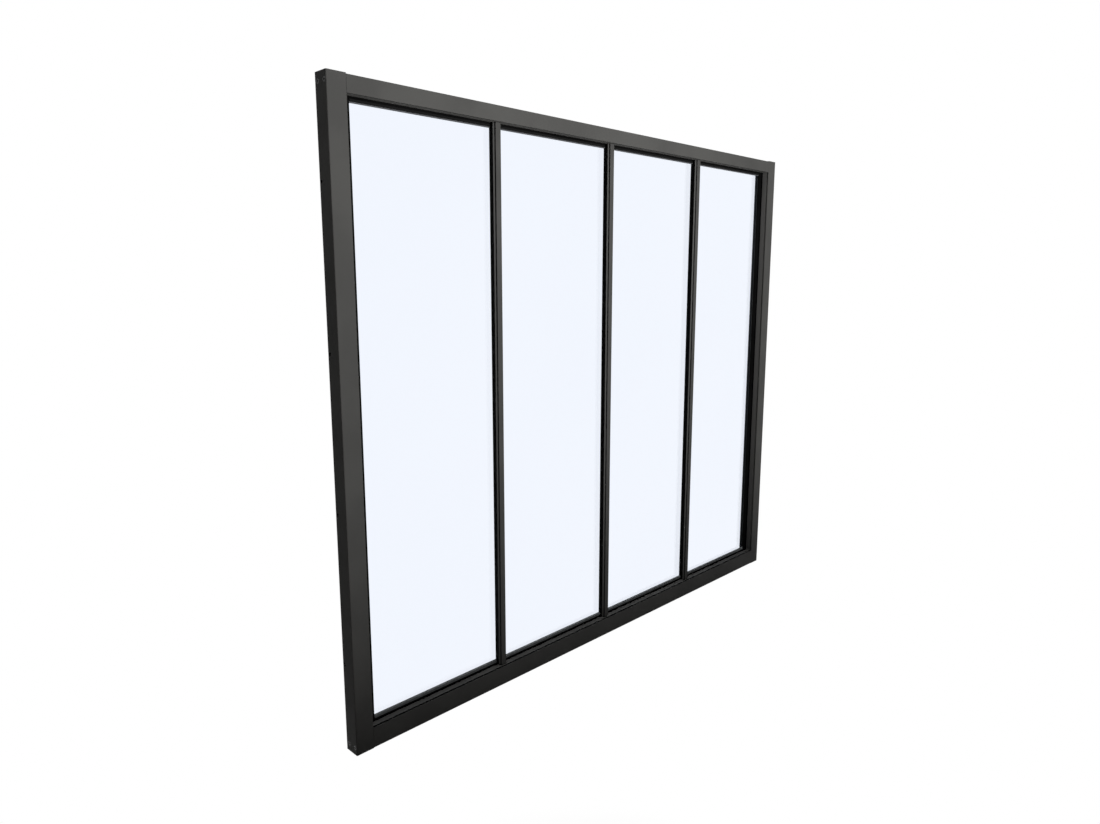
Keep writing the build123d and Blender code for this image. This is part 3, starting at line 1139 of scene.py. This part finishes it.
class JambCaps(JambFitting):
    """Moulded plugs that close the two open ends of a jamb."""

    slot = Slot.BLOCK
    sizes = CapSizes()

    def rings(self) -> np.ndarray:
        """Rings of the plug's skin, in millimetres from the jamb's outer side, front and end.

        A corner moved inwards by a distance is the corner plus that distance times the sum of the
        inward normals of its two edges, which holds because every corner is square.

        Returns:
            Points as an array of rings by corners by 3.
        """
        s = self.sizes
        corners = np.array(s.outline)
        edge = np.roll(corners, -1, 0) - corners
        normal = np.stack([-edge[:, 1], edge[:, 0]], -1) / np.linalg.norm(edge, axis=1)[:, None]
        inward = normal + np.roll(normal, 1, 0)
        eased = s.arris * s.ease
        steps = (
            (s.fit + s.arris, s.sunk),
            (s.fit + eased, s.sunk + eased),
            (s.fit, s.sunk + s.arris),
            (s.fit, s.depth),
        )
        return np.stack([
            np.column_stack([corners + gap * inward, np.full(len(corners), below)])
            for gap, below in steps
        ])

    def plug(self, end: float, downward: int) -> Skin:
        """Skin of the plug in one end of the jamb.

        Args:
            end: Z of the jamb's end in metres.
            downward: sign of Z from that end into the jamb.

        Returns:
            Points in metres, and faces.
        """
        rings = self.rings() * MM
        rows, columns = rings.shape[:2]
        here = np.arange(columns)
        lids = [here[::-1].tolist(), (here + (rows - 1) * columns).tolist()]
        faces = ring_walls(rows, columns).tolist() + lids
        x = self.outer + self.inward * rings[..., 0]
        y = self.low.y + rings[..., 1]
        z = end + downward * rings[..., 2]
        turned = downward == self.inward
        points = np.stack([x, y, z], -1).reshape(-1, 3)
        return points, [face[::-1] for face in faces] if turned else faces

    def build(self) -> bpy.types.Object:
        """Builds the jamb's two plugs as one piece.

        Returns:
            The finished object.
        """
        plugs = [self.plug(self.high.z, -1), self.plug(self.low.z, 1)]
        return self.place("jamb_caps", plugs, self.finish())


@dataclass
class Lamp:
    """A soft rectangular lamp, aimed at a point.

    Its power is in watts and its spread in degrees.
    """

    name: str
    at: tuple[float, float, float]
    aim: tuple[float, float, float]
    width: float
    height: float
    power: float
    spread: float = 180.0

    def hang(self) -> bpy.types.Object:
        """Puts the lamp into the scene.

        Returns:
            The lamp's object.
        """
        light = bpy.data.lights.new(self.name, "AREA")
        light.shape = "RECTANGLE"
        light.size, light.size_y = self.width, self.height
        light.energy = self.power
        light.spread = math.radians(self.spread)
        lamp = bpy.data.objects.new(self.name, light)
        lamp.location = self.at
        beam = Vector(self.aim) - Vector(self.at)
        lamp.rotation_euler = beam.to_track_quat("-Z", "Y").to_euler()
        lamp.visible_camera = False
        lamp.visible_transmission = False
        lamp.visible_glossy = False
        bpy.context.scene.collection.objects.link(lamp)
        return lamp


def seen_directly(bench: Bench) -> Socket:
    """Tells what is seen from what only lights a surface.

    Args:
        bench: bench of the material or world that reads it.

    Returns:
        The mask's socket: 1 for what is seen straight, in a gloss or through glass, and 0 for the
        rest. The diffuse depth is whole, so a half lies between no bounce and one.
    """
    path = bench.put("ShaderNodeLightPath").outputs
    seen = bench.maths("MAXIMUM", path["Is Camera Ray"], path["Is Glossy Ray"])
    seen = bench.maths("MAXIMUM", seen, path["Is Transmission Ray"])
    unscattered = bench.maths("LESS_THAN", path["Diffuse Depth"], 0.5)
    return bench.maths("MULTIPLY", seen, unscattered)


@dataclass
class Studio:
    """Pale floor of the room below the window, white surroundings, soft lamps and the camera.

    The share of plain white that the eye sees in the floor grows from glow_near to 1 between the
    distances glow_start and glow_end from the floor's middle. The camera's angles are in degrees,
    and its lens and sensor in millimetres.
    """

    floor_level: float = -1.0
    floor_half: float = 9.0
    floor_colour: Colour = (0.86, 0.86, 0.85)
    glow_near: float = 0.85
    glow_start: float = 0.35
    glow_end: float = 0.8
    surround: float = 0.03
    camera_at: tuple[float, float, float] = (-1.21981, -1.04212, 0.76176)
    camera_tilt: float = 80.26
    camera_turn: float = -45.31
    camera_lens: float = 25.44
    camera_sensor: float = 36.0
    camera_clip: Limits = (0.01, 60.0)
    lamps: list[Lamp] = field(default_factory=lambda: [
        Lamp("key_lamp", at=(-0.13, -2.03, 0.05), aim=(-0.13, -1.43, 2.0),
             width=0.83, height=0.3, power=79.0, spread=150.0),
        Lamp("right_lamp", at=(0.944, -0.816, 0.27), aim=(0.944, 0.0, 0.23),
             width=0.58, height=0.3, power=0.34, spread=53.0),
        Lamp("upper_lamp", at=(0.0, -0.3, 2.3), aim=(0.0, 0.0, 0.3),
             width=1.2, height=0.2, power=2.2, spread=60.0),
        Lamp("side_lamp", at=(-2.6, 0.0, 1.15), aim=(-0.625, 0.0, 1.15),
             width=0.08, height=0.7, power=0.38, spread=66.0),
        Lamp("rear_lamp", at=(1.1, 1.9, 1.8), aim=(0.0, 0.0, 0.6),
             width=1.6, height=1.2, power=18.0),
    ])

    def lay_floor(self) -> bpy.types.Object:
        """Lays the floor.

        Returns:
            The floor's object.
        """
        corners = np.array([[-1, -1], [1, -1], [1, 1], [-1, 1]]) * self.floor_half
        points = np.column_stack([corners, np.full(4, self.floor_level)])
        mesh = bpy.data.meshes.new("floor")
        mesh.from_pydata(points.tolist(), [], [[0, 1, 2, 3]])
        mesh.materials.append(self.floor_material())
        floor = bpy.data.objects.new("floor", mesh)
        bpy.context.scene.collection.objects.link(floor)
        return floor

    def floor_material(self) -> bpy.types.Material:
        """Pale matt floor that the camera sees as white, with the object's shadow kept near it.

        Returns:
            The finished material.
        """
        material, bench = new_material("pale_floor")
        spot = bench.put("ShaderNodeSeparateXYZ", {0: bench.place()}).outputs
        square = [bench.maths("MULTIPLY", spot[axis], spot[axis]) for axis in ("X", "Y")]
        distance = bench.maths("SQRT", bench.maths("ADD", *square))
        glow = bench.ramp(distance, self.glow_start, self.glow_end, self.glow_near, 1.0)
        share = bench.maths("MULTIPLY", seen_directly(bench), glow)
        matt = bench.put("ShaderNodeBsdfDiffuse", {"Color": opaque(self.floor_colour)})
        white = bench.put("ShaderNodeEmission", {"Color": WHITE, "Strength": 1.0})
        mixed = bench.put("ShaderNodeMixShader", {
            0: share, 1: matt.outputs[0], 2: white.outputs[0]})
        bench.put("ShaderNodeOutputMaterial", {"Surface": mixed.outputs[0]})
        return material

    def surround_world(self) -> None:
        """White all round for the eye, and only a little light from it on surfaces."""
        world = bpy.data.worlds.new("white_room")
        world.use_nodes = True
        world.node_tree.nodes.clear()
        bench = Bench(world.node_tree)
        seen = seen_directly(bench)
        strength = bench.maths("MULTIPLY_ADD", seen, 1.0 - self.surround, self.surround)
        sky = bench.put("ShaderNodeBackground", {"Color": WHITE, "Strength": strength})
        bench.put("ShaderNodeOutputWorld", {"Surface": sky.outputs[0]})
        bpy.context.scene.world = world

    def stand_camera(self) -> bpy.types.Object:
        """Puts the camera where the photograph was taken from.

        Returns:
            The camera's object.
        """
        data = bpy.data.cameras.new("camera")
        data.lens = self.camera_lens
        data.sensor_width = self.camera_sensor
        data.sensor_fit = "HORIZONTAL"
        data.clip_start, data.clip_end = self.camera_clip
        camera = bpy.data.objects.new("camera", data)
        camera.location = self.camera_at
        tilt, turn = math.radians(self.camera_tilt), math.radians(self.camera_turn)
        camera.rotation_euler = (tilt, 0.0, turn)
        bpy.context.scene.collection.objects.link(camera)
        bpy.context.scene.camera = camera
        return camera

    def build(self) -> None:
        """Builds the whole studio."""
        self.lay_floor()
        self.surround_world()
        for lamp in self.lamps:
            lamp.hang()
        self.stand_camera()
        bpy.context.scene.view_settings.view_transform = "Standard"
        log.info("studio with %d lamps", len(self.lamps))


def main() -> None:
    """Builds the studio and every sub-assembly in order."""
    logging.basicConfig(level=logging.INFO, format="%(name)s: %(message)s")
    Studio().build()
    palette = Palette()
    for kind in (Rails, Jambs, GlazingBars, Beads, Panes, Seals, SettingBlocks):
        kind(palette).dress()
    for side in Side:
        CornerScrews(palette, side).build()
        JambCaps(palette, side).build()


if __name__ == "__main__":
    main()
